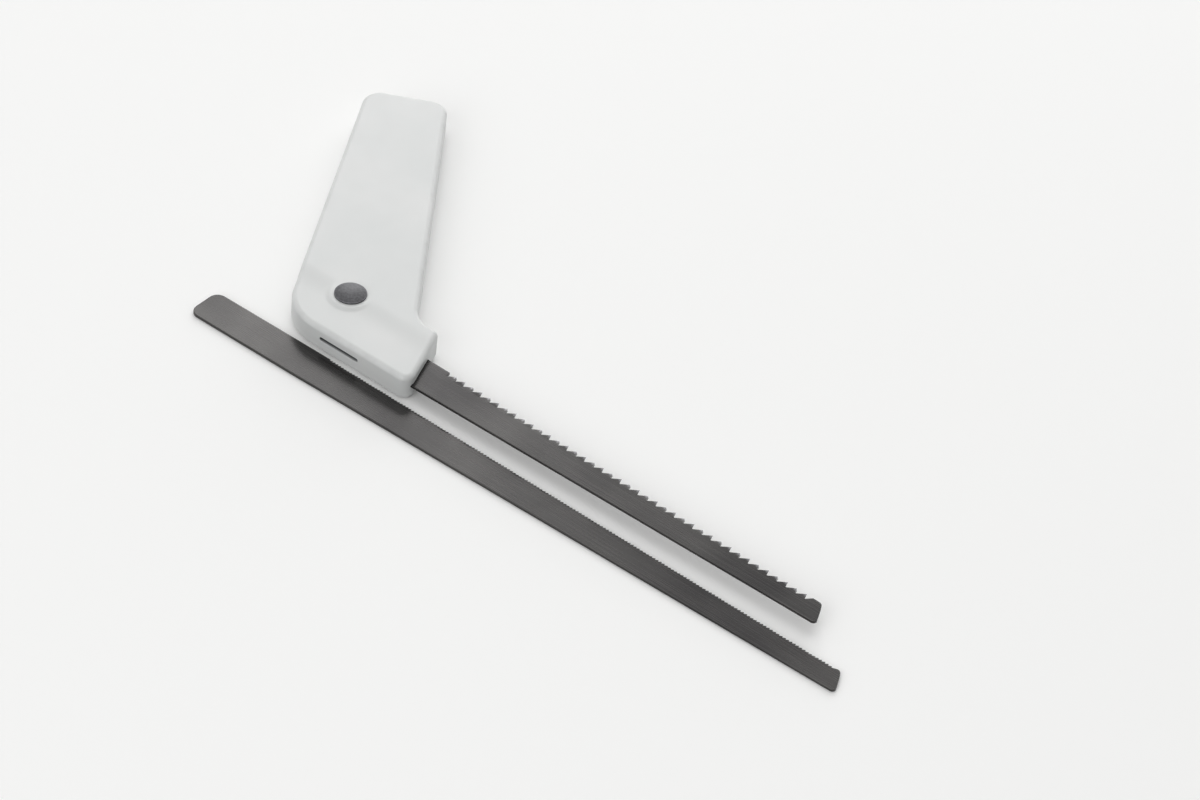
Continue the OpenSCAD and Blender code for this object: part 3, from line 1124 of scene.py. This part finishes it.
@dataclass
class Studio:
    """The plain pale floor, the soft light and the camera at the photograph's angle.

    Attributes:
        floor_gap_mm: how far the floor lies below the saw.
        bounce_tone: the floor's colour to rays that only carry its light.
        fade_m: how far out the floor starts to turn white, and where it has done so.
    """

    floor_tone: str = "#FCFCFB"
    bounce_tone: str = "#E2E2E2"
    floor_half_m: float = 6.0
    floor_gap_mm: float = 0.1
    fade_m: Pair = (0.7, 2.6)
    sky_strength: float = 0.47
    sky_slope: float = 0.35
    camera_at: Point = (0.43134, -0.54013, 0.53885)
    camera_turn: Point = (48.563, -5.960, 37.531)
    lens_mm: float = 85.175
    sensor_mm: float = 36.0
    clip_m: Pair = (0.01, 50.0)

    def seen(self, add: Adder) -> Socket:
        """Adds the test for rays that show the background: camera, glossy or transmitted.

        Args:
            add: adds a node to the tree that takes the test.
        Returns:
            A socket that is one for such a ray and zero for the rest.
        """
        path = add("LightPath", {})
        shows = path["Is Camera Ray"]
        for ray in ("Is Glossy Ray", "Is Transmission Ray"):
            shows = add("Math", {0: shows, 1: path[ray]}, operation="MAXIMUM")[0]
        return shows

    def floor(self) -> None:
        """Lays a wide floor that looks nearly white and keeps the object's soft shadow."""
        mesh = bpy.data.meshes.new("floor")
        corners = np.array([[-1, -1, 0], [1, -1, 0], [1, 1, 0], [-1, 1, 0]]) * self.floor_half_m
        mesh.from_pydata(corners - np.array([0, 0, self.floor_gap_mm * MM]), [], [[0, 1, 2, 3]])
        show("floor", mesh)
        made = bpy.data.materials.new("pale_floor")
        made.use_nodes = True
        tree = made.node_tree
        add = partial(add_node, tree)
        seen = self.seen(add)
        dim, pale = linear(self.bounce_tone), linear(self.floor_tone)
        tones = {FACTOR: seen, COLOUR_A: dim, COLOUR_B: pale}
        colour = add("Mix", tones, data_type="RGBA")[MIXED_COLOUR]
        shader = tree.nodes["Principled BSDF"]
        fill(tree, shader, {"Base Color": colour, "Roughness": 0.9, "Specular IOR Level": 0.1})
        where = add("TexCoord", {})["Object"]
        far = add("VectorMath", {0: where}, operation="LENGTH")["Value"]
        start, end = self.fade_m
        share = {"Value": far, "From Min": start, "From Max": end, "To Max": seen}
        fade = add("MapRange", share, interpolation_type="SMOOTHSTEP")[0]
        white = add("Emission", {"Color": WHITE, "Strength": 1.0})[0]
        mixed = add("MixShader", {0: fade, 1: shader.outputs[0], 2: white})[0]
        fill(tree, tree.nodes["Material Output"], {"Surface": mixed})
        mesh.materials.append(made)

    def sky(self) -> None:
        """Surrounds the scene with soft light, stronger from -X, and a white background."""
        world = bpy.data.worlds.new("studio")
        world.use_nodes = True
        bpy.context.scene.world = world
        tree = world.node_tree
        add = partial(add_node, tree)
        way = add("TexCoord", {})["Generated"]
        slope = {
            "Value": add("SeparateXYZ", {0: way})["X"],
            "From Min": -1.0,
            "To Min": self.sky_strength * (1 + self.sky_slope),
            "To Max": self.sky_strength * (1 - self.sky_slope),
        }
        light = add("MapRange", slope)[0]
        shown = {"Value": self.seen(add), "To Min": light, "To Max": 1.0}
        level = add("MapRange", shown)[0]
        fill(tree, tree.nodes["Background"], {"Color": WHITE, "Strength": level})

    def lamp(
        self, name: str, at: Point, size: Pair, watts: float, mirrored: bool = True
    ) -> None:
        """Hangs a soft lamp that faces the origin.

        Args:
            name: the lamp's name.
            at: its place in metres.
            size: its width and height in metres.
            watts: its power.
            mirrored: whether glossy surfaces reflect it.
        """
        data = bpy.data.lights.new(name, "AREA")
        data.shape, data.energy = "RECTANGLE", watts
        data.size, data.size_y = size
        lamp = show(name, data)
        lamp.location = at
        lamp.visible_glossy = mirrored
        lamp.rotation_euler = (-lamp.location).to_track_quat("-Z", "Y").to_euler()

    def camera(self) -> None:
        """Sets the camera where the photograph was taken from."""
        data = bpy.data.cameras.new("camera")
        data.lens, data.sensor_width = self.lens_mm, self.sensor_mm
        data.sensor_fit = "HORIZONTAL"
        data.clip_start, data.clip_end = self.clip_m
        eye = show("camera", data)
        eye.location = self.camera_at
        eye.rotation_euler = Euler([math.radians(a) for a in self.camera_turn])
        bpy.context.scene.camera = eye

    def build(self) -> None:
        """Sets the whole stage; the light from behind has a part that metal doesn't mirror."""
        bpy.context.scene.view_settings.view_transform = "Standard"
        self.floor()
        self.sky()
        behind = ((-0.5, 1.84, 0.62), (1.4, 1.4))
        self.lamp("key", (-0.1, 0.3, 1.7), (1.3, 1.3), 5.2)
        self.lamp("back", *behind, 8.0)
        self.lamp("back_soft", *behind, 15.5, mirrored=False)
        self.lamp("card", (-0.99, 1.18, 0.93), (0.5, 0.9), 4.1)
        self.lamp("fill", (0.1, -1.55, 0.9), (1.2, 1.2), 9.5)
        self.camera()


def blades() -> list[Blade]:
    """Lists the two blades with their own sizes.

    Returns:
        The coarse fitted blade and the fine spare one.
    """
    fitted = Blade(
        name="fitted_blade_coarse",
        node="fitted_blade",
        at=(-3.7, -8.6),
        turn=0.0,
        mid_z=4.6,
        length=178.0,
        pitch=3.175,
        depth=1.8,
        bend=0.12,
        tooth_set=ToothSet.ALTERNATE,
        steps=(0.0, 0.1, 0.3, 0.56, 0.82, 0.88, 0.94, 1.0),
        rise=(0.0, 0.05, 0.32, 0.67, 1.0, 0.66, 0.26, 0.0),
        cloud_at=75.0,
    )
    spare = Blade(
        name="spare_blade_fine",
        node="spare_blade",
        at=(-34.8, -25.1),
        turn=0.8,
        mid_z=0.45,
        length=225.0,
        pitch=1.06,
        depth=0.6,
        bend=0.1,
        tooth_set=ToothSet.WAVY,
        steps=(0.0, 0.42, 0.82, 0.92, 1.0),
        rise=(0.0, 0.5, 1.0, 0.45, 0.0),
        cloud_at=150.0,
    )
    return [fitted, spare]


def main() -> None:
    """Builds the saw's pieces and the stage."""
    logging.basicConfig(level=logging.INFO, format="%(name)s: %(message)s")
    Handle().build()
    ClampNut().build()
    ClampScrew().build()
    for blade in blades():
        blade.build()
    Studio().build()


if __name__ == "__main__":
    main()
